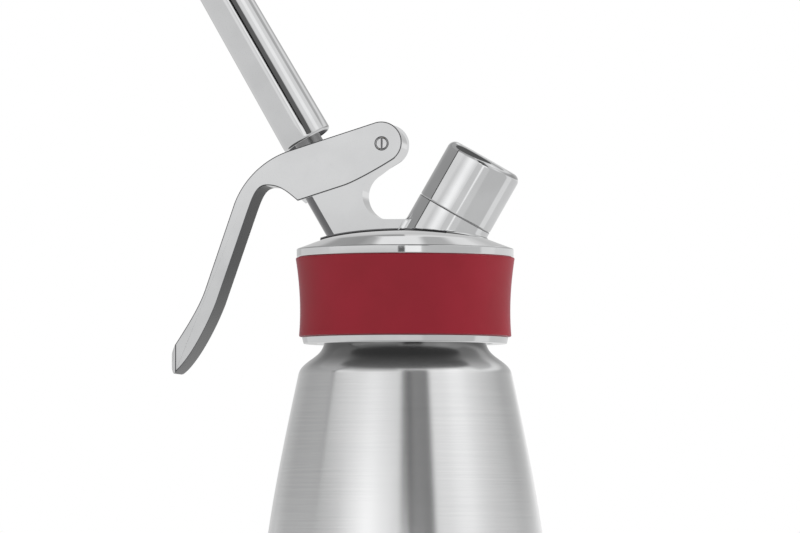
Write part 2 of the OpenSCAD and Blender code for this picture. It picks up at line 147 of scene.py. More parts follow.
class Shade:
    """A node tree of a material or of the world, with one method that makes nodes."""

    def __init__(self, owner):
        owner.use_nodes = True
        self.nodes = owner.node_tree.nodes
        self.links = owner.node_tree.links
        self.nodes.clear()

    def node(self, kind, settings=None, values=None, output=0):
        made = self.nodes.new(kind)
        for name, setting in (settings or {}).items():
            if name == "stops":
                self._stops(made.color_ramp, setting)
            else:
                setattr(made, name, setting)
        pairs = values.items() if isinstance(values, dict) else enumerate(values or [])
        for key, value in pairs:
            if isinstance(value, Value):
                self.links.new(value.socket, made.inputs[key])
            else:
                made.inputs[key].default_value = value
        return Value(self, made.outputs[output]) if made.outputs else made

    @staticmethod
    def _stops(ramp, stops):
        while len(ramp.elements) < len(stops):
            ramp.elements.new(1)
        for element, (place, colour) in zip(ramp.elements, stops):
            element.position = place
            element.color = (*colour, 1)

    def mix(self, factor, first, second):
        """Mixes two colours."""
        settings = {"data_type": "RGBA", "clamp_factor": True}
        values = {"Factor": factor, 6: first, 7: second}
        return self.node("ShaderNodeMix", settings, values, output=2)

    def rise(self, value, low, high):
        """Goes smoothly from 0 at low to 1 at high."""
        settings = {"interpolation_type": "SMOOTHSTEP"}
        return self.node("ShaderNodeMapRange", settings, {"Value": value, "From Min": low, "From Max": high})

    def noise(self, place, scale, detail, roughness):
        values = {"Vector": place, "Scale": scale, "Detail": detail, "Roughness": roughness}
        return self.node("ShaderNodeTexNoise", None, values)

    def object_place(self):
        return self.node("ShaderNodeTexCoord", output=3)

    def stretched(self, place, scale, turn=(0, 0, 0)):
        """The place, scaled and turned."""
        values = {"Vector": place, "Rotation": turn, "Scale": scale}
        return self.node("ShaderNodeMapping", {"vector_type": "POINT"}, values)

    def height(self, place):
        """Height of the place above the base, in metres."""
        return self.node("ShaderNodeSeparateXYZ", None, [place], output=2)


# ---------------------------------------------------------------- materials

def principled(shade, constants, varying):
    """The main shader with its output: constants sit on its sockets, varying values are linked."""
    shader = shade.node("ShaderNodeBsdfPrincipled", None, {**constants, **varying})
    shade.node("ShaderNodeOutputMaterial", None, {"Surface": shader})


def bumped(shade, height, distance):
    """Normals of a surface whose bumps are as high as the distance, in metres."""
    values = {"Strength": 1.0, "Distance": distance, "Height": height}
    return shade.node("ShaderNodeBump", None, values)


def brushed_steel():
    """Drawn steel, brushed round its axis in fine level lines."""
    material = bpy.data.materials.new("brushed_steel")
    shade = Shade(material)
    place = shade.object_place()
    height = shade.height(place)
    fine = shade.noise(shade.stretched(place, (22, 22, 5200)), 1, 3, 0.7)
    broad = shade.noise(shade.stretched(place, (34, 34, 900)), 1, 2, 0.6)
    cloud = shade.noise(place, 28, 3, 0.5)
    lines = fine * 0.88 + broad * 0.12
    tone = shade.mix(shade.rise(lines, 0.3, 0.7), (0.85, 0.855, 0.86, 1), (0.91, 0.912, 0.915, 1))
    # Painted shade: the flare under the head is darkened, where the head's shade falls
    flare_painted_shade = shade.rise(height, SHOULDER_Z * MM, 0.1435) * (1 - shade.rise(height, 0.1478, 0.149))
    tone = shade.mix(flare_painted_shade * 0.86, tone, (0.12, 0.12, 0.12, 1))
    rough = 0.165 + lines * 0.05 + cloud * 0.02
    normal = bumped(shade, lines, 0.000006)
    principled(shade, {"Metallic": 1.0, "Anisotropic": 0.9, "Anisotropic Rotation": 0.25},
               {"Base Color": tone, "Roughness": rough, "Normal": normal})
    return material


def polished_steel(name="polished_steel", tint=(0.72, 0.725, 0.73), base_rough=0.05):
    """Cast steel polished to a soft mirror, with faint polishing marks and a slight wave."""
    material = bpy.data.materials.new(name)
    shade = Shade(material)
    place = shade.object_place()
    cloud = shade.noise(place, 60, 3, 0.55)
    marks = shade.noise(shade.stretched(place, (900, 260, 900)), 1, 4, 0.7)
    wave = shade.noise(place, 70, 1, 0.4)
    dim = tuple(0.94 * part for part in tint)
    tone = shade.mix(shade.rise(cloud, 0.35, 0.65), (*dim, 1), (*tint, 1))
    rough = base_rough + shade.rise(cloud, 0.4, 0.75) * 0.03 + shade.rise(marks, 0.5, 0.8) * 0.03
    normal = bumped(shade, wave + marks * 0.06, 0.000005)
    principled(shade, {"Metallic": 1.0}, {"Base Color": tone, "Roughness": rough, "Normal": normal})
    return material


def shade_painted_trigger_steel():
    """Painted shade for the inner side of the trigger: darker and duller than the rest, and darkest at the
    top.
    """
    material = bpy.data.materials.new("shade_painted_trigger_steel")
    shade = Shade(material)
    place = shade.object_place()
    height = shade.height(place)
    cloud = shade.noise(place, 90, 3, 0.55)
    pores = shade.noise(place, 1500, 3, 0.6)
    # Painted shade: darkest at the top, lighter lower down
    lower = 1 - shade.rise(height, 0.140, 0.178)
    tone = shade.mix(lower, (0.105, 0.106, 0.108, 1), (0.42, 0.422, 0.425, 1))
    tone = shade.mix(shade.rise(cloud, 0.3, 0.7) * 0.15, tone, (0.2, 0.2, 0.2, 1))
    rough = 0.18 + cloud * 0.06 + pores * 0.04
    normal = bumped(shade, pores + cloud * 0.5, 0.000005)
    principled(shade, {"Metallic": 1.0, "Specular Tint": (0.4, 0.4, 0.4, 1)},
               {"Base Color": tone, "Roughness": rough, "Normal": normal})
    return material


def turned_steel(name, turn, tint=0.2):
    """Steel turned on a lathe: fine rings across the axis that the turn sets upright."""
    material = bpy.data.materials.new(name)
    shade = Shade(material)
    place = shade.stretched(shade.object_place(), (1, 1, 1), turn)
    rings = shade.noise(shade.stretched(place, (60, 60, 5200)), 1, 2, 0.6)
    cloud = shade.noise(place, 240, 3, 0.6)
    dim = 0.85 * tint
    tone = shade.mix(shade.rise(rings, 0.3, 0.7), (dim, dim, dim * 1.01, 1), (tint, tint, tint * 1.01, 1))
    rough = 0.24 + rings * 0.08 + cloud * 0.05
    normal = bumped(shade, rings, 0.000004)
    principled(shade, {"Metallic": 1.0}, {"Base Color": tone, "Roughness": rough, "Normal": normal})
    return material


def silicone(name, deep, light):
    """Soft moulded rubber with a faint grain and a bloom at its edges."""
    material = bpy.data.materials.new(name)
    shade = Shade(material)
    place = shade.object_place()
    cloud = shade.noise(place, 45, 3, 0.55)
    speck = shade.noise(place, 3800, 2, 0.6)
    tone = shade.mix(shade.rise(cloud, 0.3, 0.7), (*deep, 1), (*light, 1))
    rough = 0.46 + cloud * 0.08 + speck * 0.06
    normal = bumped(shade, speck, 0.00001)
    bloom = {"Sheen Weight": 0.3, "Sheen Roughness": 0.2, "Sheen Tint": (1, 0.8, 0.92, 1)}
    principled(shade, {"IOR": 1.38, **bloom}, {"Base Color": tone, "Roughness": rough, "Normal": normal})
    return material


def brass():
    """Bearing metal with worn patches."""
    material = bpy.data.materials.new("bearing_brass")
    shade = Shade(material)
    place = shade.object_place()
    cloud = shade.noise(place, 500, 3, 0.6)
    pores = shade.noise(place, 5000, 2, 0.6)
    tone = shade.mix(shade.rise(cloud, 0.35, 0.7), (0.46, 0.33, 0.14, 1), (0.72, 0.56, 0.28, 1))
    rough = 0.3 + cloud * 0.2
    normal = bumped(shade, pores, 0.00003)
    principled(shade, {"Metallic": 1.0}, {"Base Color": tone, "Roughness": rough, "Normal": normal})
    return material


# ---------------------------------------------------------------- mesh helpers

def places(*pairs):
    """Points of an outline, given as pairs of numbers."""
    return [Vector(pair) for pair in pairs]


def curve(a, b, c, d, steps):
    """Points of a cubic curve with two handles."""
    a, b, c, d = places(a, b, c, d)
    points = []
    for i in range(steps + 1):
        t = i / steps
        u = 1 - t
        points.append(u * u * u * a + 3 * u * u * t * b + 3 * u * t * t * c + t * t * t * d)
    return points


def bow(centre, radius, start, end, steps):
    """Points of a stretch of a circle, from and to angles in degrees."""
    points = []
    for i in range(steps + 1):
        angle = math.radians(start + (end - start) * i / steps)
        points.append(Vector(centre) + radius * Vector((math.cos(angle), math.sin(angle))))
    return points


def rounded(corners, steps):
    """Turns corners given as (x, y, radius) into an outline with rounded corners."""
    points = []
    count = len(corners)
    for i, (x, y, radius) in enumerate(corners):
        here = Vector((x, y))
        if radius == 0:
            points.append(here)
            continue
        before = Vector(corners[i - 1][:2]) - here
        after = Vector(corners[(i + 1) % count][:2]) - here
        half = before.angle(after) / 2
        reach = radius / math.tan(half)
        start = here + before.normalized() * reach
        end = here + after.normalized() * reach
        centre = here + (before.normalized() + after.normalized()).normalized() * (radius / math.sin(half))
        for k in range(steps + 1):
            # The arc is walked by turning from the start to the end round its centre
            sweep = (start - centre).angle_signed(end - centre)
            turn = Matrix.Rotation(-sweep * (k / steps), 2)
            points.append(centre + turn @ (start - centre))
    return points


def spun(points, steps, closed=False):
    """A turned body: the points are (radius, height) in mm, spun round the upright axis."""
    bm = bmesh.new()
    verts = [bm.verts.new((max(r, 0) * MM, 0, z * MM)) for r, z in points]
    pairs = list(zip(verts, verts[1:]))
    if closed:
        pairs.append((verts[-1], verts[0]))
    edges = [bm.edges.new(pair) for pair in pairs]
    bmesh.ops.spin(bm, geom=verts + edges, cent=(0, 0, 0), axis=(0, 0, 1), dvec=(0, 0, 0),
                   angle=2 * math.pi, steps=steps, use_merge=True, use_duplicate=False)
    bmesh.ops.remove_doubles(bm, verts=bm.verts, dist=1e-7)
    bmesh.ops.recalc_face_normals(bm, faces=bm.faces)
    return bm


def rod(radius, low, high, steps):
    """A plain round bar on the upright axis."""
    return spun([(0, low), (radius, low), (radius, high), (0, high)], steps)


def plate(points, low, high):
    """An upright plate: the outline is (x, z) in mm, from low to high in y."""
    bm = bmesh.new()
    verts = [bm.verts.new((x * MM, low * MM, z * MM)) for x, z in points]
    face = bm.faces.new(verts)
    made = bmesh.ops.extrude_face_region(bm, geom=[face])
    moved = [item for item in made["geom"] if isinstance(item, bmesh.types.BMVert)]
    bmesh.ops.translate(bm, verts=moved, vec=(0, (high - low) * MM, 0))
    bmesh.ops.recalc_face_normals(bm, faces=bm.faces)
    return bm


def bevel(bm, edges, width, segments, finish=None):
    """Rounds the edges; a finish is the number of the material that the rounded faces get."""
    made = bmesh.ops.bevel(bm, geom=edges, offset=width * MM, offset_type="OFFSET", segments=segments,
                           profile=0.5, affect="EDGES", material=-1, clamp_overlap=finish is None)
    if finish is not None:
        for face in made["faces"]:
            face.material_index = finish


def put(bm, at, turn):
    """Moves a body made round the upright axis to a slanted axis through the place given as (x, z)."""
    matrix = Matrix.Translation((at[0] * MM, 0, at[1] * MM)) @ Matrix.Rotation(turn, 4, "Y")
    bmesh.ops.transform(bm, matrix=matrix, verts=bm.verts)
    return bm


def laid_across(bm):
    """Turns a body made round the upright axis to lie across, on the pin's axis."""
    matrix = Matrix.Translation((PIN[0] * MM, 0, PIN[1] * MM)) @ Matrix.Rotation(math.pi / 2, 4, "X")
    bmesh.ops.transform(bm, matrix=matrix, verts=bm.verts)
    return bm


def cut(bm, point, normal):
    """Cuts away what lies beyond the plane and closes the cut."""
    geom = list(bm.verts) + list(bm.edges) + list(bm.faces)
    made = bmesh.ops.bisect_plane(bm, geom=geom, plane_co=[c * MM for c in point], plane_no=normal,
                                  clear_outer=True, clear_inner=False, dist=1e-8)
    rim = [item for item in made["geom_cut"] if isinstance(item, bmesh.types.BMEdge)]
    bmesh.ops.edgenet_fill(bm, edges=rim)
    bmesh.ops.recalc_face_normals(bm, faces=bm.faces)


def joined(*parts):
    """Puts several bodies into one mesh."""
    whole = bmesh.new()
    for part in parts:
        mesh = bpy.data.meshes.new("part")
        part.to_mesh(mesh)
        part.free()
        whole.from_mesh(mesh)
        bpy.data.meshes.remove(mesh)
    return whole


def combined(body, added=(), taken=()):
    """Adds bodies to a body and takes others away from it."""
    things = []

    def stand_in(bm):
        mesh = bpy.data.meshes.new("tool")
        bm.to_mesh(mesh)
        bm.free()
        thing = bpy.data.objects.new("tool", mesh)
        bpy.context.scene.collection.objects.link(thing)
        things.append(thing)
        return thing

    base = stand_in(body)
    for operation, tools in (("UNION", added), ("DIFFERENCE", taken)):
        for tool in tools:
            modifier = base.modifiers.new("combine", "BOOLEAN")
            modifier.operation = operation
            modifier.solver = "EXACT"
            modifier.object = stand_in(tool)
    result = bmesh.new()
    result.from_object(base, bpy.context.evaluated_depsgraph_get())
    for thing in things:
        mesh = thing.data
        bpy.data.objects.remove(thing)
        bpy.data.meshes.remove(mesh)
    bmesh.ops.remove_doubles(result, verts=result.verts, dist=1e-6)
    bmesh.ops.dissolve_degenerate(result, edges=result.edges, dist=1e-6)
    return result


def sharp_edges(bm, keep):
    """Edges to keep where two faces meet at more than 40 degrees."""
    limit = math.radians(40)
    found = [e for e in bm.edges if len(e.link_faces) == 2 and e.calc_face_angle(0) > limit]
    return [e for e in found if keep(e)]


def on_flat(edge, half):
    """True for an edge in one of the two flats that lie half a width from the middle."""
    return all(abs(abs(vert.co.y) - half * MM) < 1e-6 for vert in edge.verts)


def even_normals(mesh, angle):
    """Large faces set the normals at their corners, so flats stay flat beside rounded edges."""
    limit = math.cos(math.radians(angle))
    around = [[] for _ in mesh.vertices]
    for face in mesh.polygons:
        for vertex in face.vertices:
            around[vertex].append((face.normal.copy(), face.area))
    normals = []
    for face in mesh.polygons:
        own = face.normal
        for vertex in face.vertices:
            total = Vector((0, 0, 0))
            for normal, area in around[vertex]:
                if normal.dot(own) > limit:
                    total += normal * area
            normals.append(total.normalized())
    mesh.normals_split_custom_set(normals)


def piece(name, bm, materials, body, stands_for=None, smooth_angle=40):
    """Makes the finished object and tells the frame what it is."""
    mesh = bpy.data.meshes.new(name)
    bm.to_mesh(mesh)
    bm.free()
    mesh.shade_smooth()
    even_normals(mesh, smooth_angle)
    for material in materials:
        mesh.materials.append(material)
    made = bpy.data.objects.new(name, mesh)
    bpy.context.scene.collection.objects.link(made)
    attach(made, body)
    if stands_for:
        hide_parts(stands_for)
    return made


# ---------------------------------------------------------------- the bottle

def bottle_shell(material):
    """Pressed steel bottle: threaded neck, flare, cone-shaped body, rounded foot and dished base."""
    wall, dish = 1, 2.5
    inner_floor = dish + wall
    drop = SHOULDER_Z - BELLY_Z
    flare = curve((NECK_R, NECK_Z), (NECK_R + 0.2, NECK_Z - 5.2),
                  (SHOULDER_R - 0.9, SHOULDER_Z + 4.6), (SHOULDER_R, SHOULDER_Z), 24)
    body = curve((SHOULDER_R, SHOULDER_Z), (SHOULDER_R + 0.074 * drop, SHOULDER_Z - 0.345 * drop),
                 (BELLY_R, BELLY_Z + 0.345 * drop), (BELLY_R, BELLY_Z), 48)
    foot = curve((BELLY_R, BELLY_Z), (BELLY_R, BELLY_Z - 12), (BELLY_R - 0.8, 18), (BELLY_R - 1, 8), 16)
    corner = bow((BELLY_R - 9, 8), 8, 0, -90, 12)
    outside = flare + body[1:] + foot[1:] + corner[1:]
    outside += curve((35.5, 0), (33.9, 0), (33.6, dish), (32, dish), 8)
    inside = places((32, inner_floor))
    inside += [Vector((r - wall, max(z, inner_floor))) for r, z in reversed(foot[:-1])]
    inside += [Vector((r - wall, z)) for r, z in reversed(body[1:-1])]
    inside += [Vector((r - wall, z - wall)) for r, z in reversed(flare[4:])]
    lip = places((MOUTH_R, NECK_Z - 2), (MOUTH_R, LIP_Z - 0.6), (MOUTH_R + 0.2, LIP_Z - 0.2),
                 (MOUTH_R + 0.6, LIP_Z), (NECK_R - 0.6, LIP_Z), (NECK_R - 0.2, LIP_Z - 0.2),
                 (NECK_R, LIP_Z - 0.6))
    whole = places((0, dish)) + outside[::-1] + lip[::-1] + inside[::-1] + places((0, inner_floor))
    shell = joined(spun(whole, ROUND_STEPS), neck_thread())
    return piece("bottle_shell", shell, [material], "bottle", "bottle")


def neck_thread():
    """Rounded thread that climbs round the neck."""
    bm = bmesh.new()
    pitch, turns, steps = 4, 2.6, 150
    start = LIP_Z - 13
    outline = [(-0.2, -1.3), (0.5, -1.15), (1.5, -0.55), (1.7, -0.2),
               (1.7, 0.2), (1.5, 0.55), (0.5, 1.15), (-0.2, 1.3)]
    verts = [bm.verts.new(((NECK_R + r) * MM, 0, (start + z) * MM)) for r, z in outline]
    face = bm.faces.new(verts)
    bmesh.ops.spin(bm, geom=[face], cent=(0, 0, 0), axis=(0, 0, 1),
                   dvec=(0, 0, turns * pitch * MM / steps), angle=math.radians(360 * turns), steps=steps)
    bmesh.ops.recalc_face_normals(bm, faces=bm.faces)
    return bm


# ---------------------------------------------------------------- the head

def dome_height(x, y):
    """Height of the dome above the base at a place, in mm."""
    away = math.hypot(x, y)
    crown = DOME_BASE + CROWN_RISE * math.sqrt(1 - min(away, CROWN_REACH) ** 2 / DOME_R ** 2)
    return crown - SKIRT_SLOPE * max(away - CROWN_REACH, 0)


def dome_fall(away):
    """How far the dome falls for each millimetre outwards."""
    if away > CROWN_REACH:
        return SKIRT_SLOPE
    return CROWN_RISE * away / DOME_R ** 2 / math.sqrt(1 - (away / DOME_R) ** 2)


def head_shell(material):
    """The turned part of the head: both rims, the recess of the band, the dome and the hollow below."""
    slope_end, slope_steps = 33.4, 80
    bore_r, bore_top, recess_r, recess_top = 28.2, 168.1, 31.5, RIM_Z + 0.25
    outline = rounded([
        (bore_r, HEAD_Z, 0.3), (32.7, HEAD_Z, 0.25), (33.2, BAND_Z, 0.12), (recess_r, BAND_Z, 0),
        (recess_r, recess_top, 0), (RIM_R, recess_top, 0.12), (RIM_R, dome_height(RIM_R, 0), 0.4),
        (slope_end, dome_height(slope_end, 0), 0), (0, CAVITY_TOP, 0)], 6)[:-1]
    for i in range(1, slope_steps + 1):
        away = slope_end * (1 - i / slope_steps)
        outline.append(Vector((away, dome_height(away, 0))))
    outline += places((0, CAVITY_TOP), (21, CAVITY_TOP), (25, CAVITY_TOP - 4),
                      (25, bore_top), (bore_r, bore_top))
    shell = spun(outline, ROUND_STEPS, closed=True)
    return piece("head_shell", shell, [material], "head", "head_body")


def arm_and_housing():
    """Upright arm that carries the pin, the saddle that runs on to the port, and the valve's housing."""
    bay = PIN + Vector((1.5, -16.3))
    bay_r, ear_r = 7.95, 6.1
    outline = [FOOT - 24 * ALONG, FOOT - 3 * ALONG, FOOT + 7.5 * ACROSS - 2.0 * ALONG]
    outline += bow(PIN, ear_r, 136, -60, 40)
    outline += bow(bay, bay_r, 120, 270, 48)
    outline += places((12, bay[1] - bay_r), (12, 176))
    slab = plate(outline, -ARM_HALF, ARM_HALF)
    barrel = spun([(0, -33), (7, -33), (7, -27), (10.1, -27), (10.1, -2), (0, -2)], 128)
    put(barrel, FOOT, -SLANT)
    cut(barrel, (0, ARM_HALF, 0), (0, 1, 0))
    cut(barrel, (0, -ARM_HALF, 0), (0, -1, 0))
    behind = FOOT + 7 * ACROSS
    cut(barrel, (behind[0], 0, behind[1]), (ACROSS[0], 0, ACROSS[1]))
    notch = plate(bow(bay, bay_r, 0, 360, 120)[:-1], -12, 12)
    barrel = combined(barrel, taken=[notch])
    chamber = put(spun([(0, -40), (3.3, -40), (3.3, -26), (6.1, -26), (6.1, 6), (0, 6)], 96), FOOT, -SLANT)
    eye = laid_across(rod(3.2, -12, 12, 64))
    shape = combined(slab, added=[barrel], taken=[chamber, eye])
    dome_z = 180 * MM

    def by_ear_or_bay(edge):
        """True for the rims of the ear and the bay above the dome."""
        middle = ((edge.verts[0].co + edge.verts[1].co) / 2).xz
        near = any(abs((middle - centre * MM).length - radius * MM) < 0.1 * MM
                   for centre, radius in ((bay, bay_r), (PIN, ear_r)))
        return near and on_flat(edge, ARM_HALF) and max(vert.co.z for vert in edge.verts) > dome_z

    bevel(shape, sharp_edges(shape, by_ear_or_bay), 1.8, 7)
    # Painted shade: the front of the housing's rounding, where the trigger's shade falls, gets the dark
    # steel
    for face in shape.faces:
        left = -face.normal.x * ACROSS[0] - face.normal.z * ACROSS[1]
        if left > 0.6 and 0.27 < abs(face.normal.y) < 0.74:
            face.material_index = PAINTED_SHADE_SLOT
    return shape


def fillet(feet, walls, slopes, size, steps=8):
    """Hollow blend along a line of feet: up the walls on one side and out over the slopes on the other."""
    bm = bmesh.new()
    rows = []
    for step in range(steps + 1):
        t = step / steps
        row = []
        for foot, wall, slope in zip(feet, walls, slopes):
            top = foot + wall * size
            end = foot + slope * size
            row.append(top * (1 - t) ** 2 + foot * 2 * t * (1 - t) + end * t * t)
        rows.append(row)
    sunk = [foot - (wall + slope) * 0.15 for foot, wall, slope in zip(feet, walls, slopes)]
    rows = [sunk] + rows
    # The first row is drawn, and each next row is pulled out of the one before
    verts = [bm.verts.new(place * MM) for place in rows[0]]
    edges = [bm.edges.new(pair) for pair in zip(verts, verts[1:])]
    for row in rows[1:] + [rows[0]]:
        made = bmesh.ops.extrude_edge_only(bm, edges=edges)["geom"]
        fresh = [item for item in made if isinstance(item, bmesh.types.BMVert)]
        edges = [item for item in made if isinstance(item, bmesh.types.BMEdge)]
        edges = [e for e in edges if e.verts[0] in fresh and e.verts[1] in fresh]
        order = {}
        for vert in fresh:
            partner = next(e.other_vert(vert) for e in vert.link_edges if e.other_vert(vert) not in fresh)
            order[vert] = verts.index(partner)
        fresh.sort(key=lambda vert: order[vert])
        for vert, place in zip(fresh, row):
            vert.co = place * MM
        verts = fresh
    bmesh.ops.remove_doubles(bm, verts=bm.verts, dist=1e-7)
    ends = [e for e in bm.edges if e.is_boundary]
    bmesh.ops.holes_fill(bm, edges=ends, sides=0)
    bmesh.ops.recalc_face_normals(bm, faces=bm.faces)
    return bm


def dome_slope(x, y, out):
    """Unit step along the dome's surface, in the level direction given."""
    step = 0.01
    rise = (dome_height(x + out[0] * step, y + out[1] * step) - dome_height(x, y)) / step
    return Vector((out[0], out[1], rise)).normalized()


def slab_blend(side):
    """Blend between a flat of the arm and the dome."""
    first, length, steps = -26.5, 33.5, 48
    y = side * ARM_HALF
    feet, walls, slopes = [], [], []
    for i in range(steps + 1):
        x = first + length * i / steps
        feet.append(Vector((x, y, dome_height(x, y))))
        walls.append(Vector((0, 0, 1)))
        slopes.append(dome_slope(x, y, (0, side)))
    return fillet(feet, walls, slopes, 0.8)


def softly_joined(one, two, radius):
    """Distance to the union of two bodies whose hollow corner is rounded."""
    near = math.hypot(max(radius - one, 0), max(radius - two, 0))
    return max(radius, min(one, two)) - near


def head_distance(x, y, z):
    """Distance to the union of dome, saddle and port, with hollow blends between them."""
    dome = (z - dome_height(x, y)) / math.hypot(1, dome_fall(math.hypot(x, y)))
    beside, above, ahead = abs(y) - ARM_HALF, z - SADDLE_Z, x - 10
    apart = Vector((max(beside, 0), max(above, 0), max(ahead, 0))).length
    saddle = apart + min(max(beside, above, ahead), 0)
    u = (x - PORT[0]) * math.cos(SLANT) - (z - PORT[1]) * math.sin(SLANT)
    stub = math.hypot(u, y) - PORT_R
    # The skin lies just outside the bodies that it covers
    return softly_joined(softly_joined(dome, saddle, 0.8), stub, 1.0) - 0.02


def port_flare(material, shade_painted_material):
    """Skin that blends the port's wall into the dome and the saddle."""
    axis = Vector((math.sin(SLANT), 0, math.cos(SLANT)))
    across = Vector((math.cos(SLANT), 0, -math.sin(SLANT)))
    middle = Vector((PORT[0], 0, PORT[1])) - axis * 14

    def reach(ray):
        """How far the surface lies from the middle along the ray."""
        low, high = 6.0, 40.0
        for _ in range(20):
            half = (low + high) / 2
            place = middle + ray * half
            inside = head_distance(*place) < 0
            low, high = (half, high) if inside else (low, half)
        return low

    bm = bmesh.new()
    rings, rows = 240, 40
    first = math.atan2(PORT_R, 13.7)
    grid = []
    for i in range(rings):
        turn = 2 * math.pi * i / rings
        out = across * math.cos(turn) + Vector((0, 1, 0)) * math.sin(turn)

        def ray_at(lean):
            return axis * math.cos(lean) + out * math.sin(lean)

        # The skin runs out to this distance from the port's axis, farthest on its low side
        edge = PORT_R + 1.8 + 1.6 * max(math.cos(turn), 0)
        near, far = first, math.radians(125)
        for _ in range(12):
            half = (near + far) / 2
            wide = reach(ray_at(half)) * math.sin(half)
            near, far = (half, far) if wide < edge else (near, half)
        line = []
        for k in range(rows + 1):
            ray = ray_at(first + (near - first) * k / rows)
            line.append(middle + ray * reach(ray))
        # Both ends are tucked under the surface
        line.append(line[-1] - (line[-1] - middle).normalized() * 0.5)
        line.insert(0, line[0] - out * 0.5)
        grid.append([bm.verts.new(place * MM) for place in line])
    for i in range(rings):
        one, two = grid[i], grid[(i + 1) % rings]
        for k in range(len(one) - 1):
            bm.faces.new((one[k], two[k], two[k + 1], one[k + 1]))
    bmesh.ops.recalc_face_normals(bm, faces=bm.faces)
    # Painted shade: the narrow hollow at the foot gets the dark steel
    for face in bm.faces:
        x, y, z = face.calc_center_median() / MM
        if 0.02 < z - dome_height(x, y) < 0.75 and x < 15.2 and abs(y) > ARM_HALF:
            face.material_index = PAINTED_SHADE_SLOT
    return piece("port_flare", bm, [material, shade_painted_material], "head", smooth_angle=35)


def port():
    """Port of the charger: round stub, threaded boss, socket and the pocket of the piercing pin."""
    foot, boss_r, ridge_r, boss_top = -14, 9.8, 10.6, 10.5
    corners = [(1.2, foot, 0), (PORT_R, foot, 0), (PORT_R, 0, 0.25), (10.2, 0, 0.2)]
    for low in (2.2, 5.2, 8.2):
        corners += [(boss_r, low - 0.7, 0.2), (ridge_r, low, 0.2),
                    (ridge_r, low + 0.7, 0.2), (boss_r, low + 1.4, 0.2)]
    corners += [(boss_r, boss_top, 0.5), (5, boss_top, 0.5), (5, 1.2, 0), (4.2, 1.2, 0),
                (4.2, -4, 0), (3, -4, 0), (3, -10, 0), (1.2, -10, 0)]
    bm = spun(rounded(corners, 4), 160, closed=True)
    # Painted shade on the seat of the cap, which lies in shade
    for face in bm.faces:
        if face.calc_center_median().z > -0.27 * MM and face.normal.z > 0.15:
            face.material_index = PAINTED_SHADE_SLOT
    return put(bm, PORT, SLANT)


def head_casting(material, shade_painted_material):
    """The cast parts that stand on the dome, with the blends at the arm's foot."""
    parts = [arm_and_housing(), port()]
    for side in (1, -1):
        blend = slab_blend(side)
        # Painted shade along the blends between the arm and the dome
        for face in blend.faces:
            face.material_index = PAINTED_SHADE_SLOT
        parts.append(blend)
    return piece("head_casting", joined(*parts), [material, shade_painted_material], "head")


# ---------------------------------------------------------------- band, lever, tip, cap, screw

def silicone_band(material):
    """Band in its recess, drawn in at the waist, with soft edges."""
    low, high = BAND_Z + 0.3, RIM_Z - 0.15
    tall = high - low
    side = curve((35.2, high - 0.4), (34.3, high - 0.24 * tall),
                 (33.3, high - 0.6 * tall), (34.15, low + 0.4), 40)
    # Its thinner inner part reaches up and down into the recess
    outline = places((31.6, high + 0.35), (34.15, high + 0.35), (34.25, high + 0.25),
                     (34.3, high), (34.95, high), (35.13, high - 0.12))
    outline += side
    outline += places((34.08, low + 0.12), (33.9, low), (32.7, low), (32.6, low - 0.25), (31.6, low - 0.25))
    band = spun(outline, ROUND_STEPS, closed=True)
    return piece("silicone_band", band, [material], "head", "grip_band")


def lever_outline():
    """Outline of the lever from the pin's point of view: fork, bend and trigger."""
    end, end_r, end_angle = Vector((-0.2, 0.35)), 6.7, math.radians(-60)
    brow, bend, calf = places((-30.1, -2.1), (-48, -19.2), (-57.6, -47.2))
    heel, toe, shin = places((HEEL_X, -68), (-67.8, -73.6), (-53.6, -50.8))
    knee, arch, nose, belly = places((-43.7, -22.3), (-37.2, -13.2), (-26.8, -18.2), (-12.1, -13.4))

    def v(x, y):
        return Vector((x, y))

    last = end + end_r * v(math.cos(end_angle), math.sin(end_angle))
    points = bow(end, end_r, -60, 107.5, 40)
    points += curve(brow, brow + v(-8.6, -2.7), bend + v(2.7, 7.5), bend, 30)
    points += curve(calf, calf + v(-2.7, -7.5), heel + v(1.8, 3.2), heel, 20)
    points += curve(heel, heel + v(-0.3, -2.2), toe + v(-0.9, 0.4), toe, 10)[1:]
    points += curve(toe + v(0.5, 0.3), toe + v(4.8, 3.4), shin + v(-3.4, -8.8), shin, 20)
    points += curve(knee, knee + v(1.9, 5.4), arch + v(-3.4, 0.1), arch, 20)
    points += curve(arch, arch + v(4.6, 0), nose + v(-3.4, 2.3), nose + v(-0.5, 0), 14)[1:]
    points += curve(belly, belly + v(3.5, 1.2), end + v(-1.2, -8.6), last + v(-0.6, -0.35), 12)
    return [PIN + point for point in points]


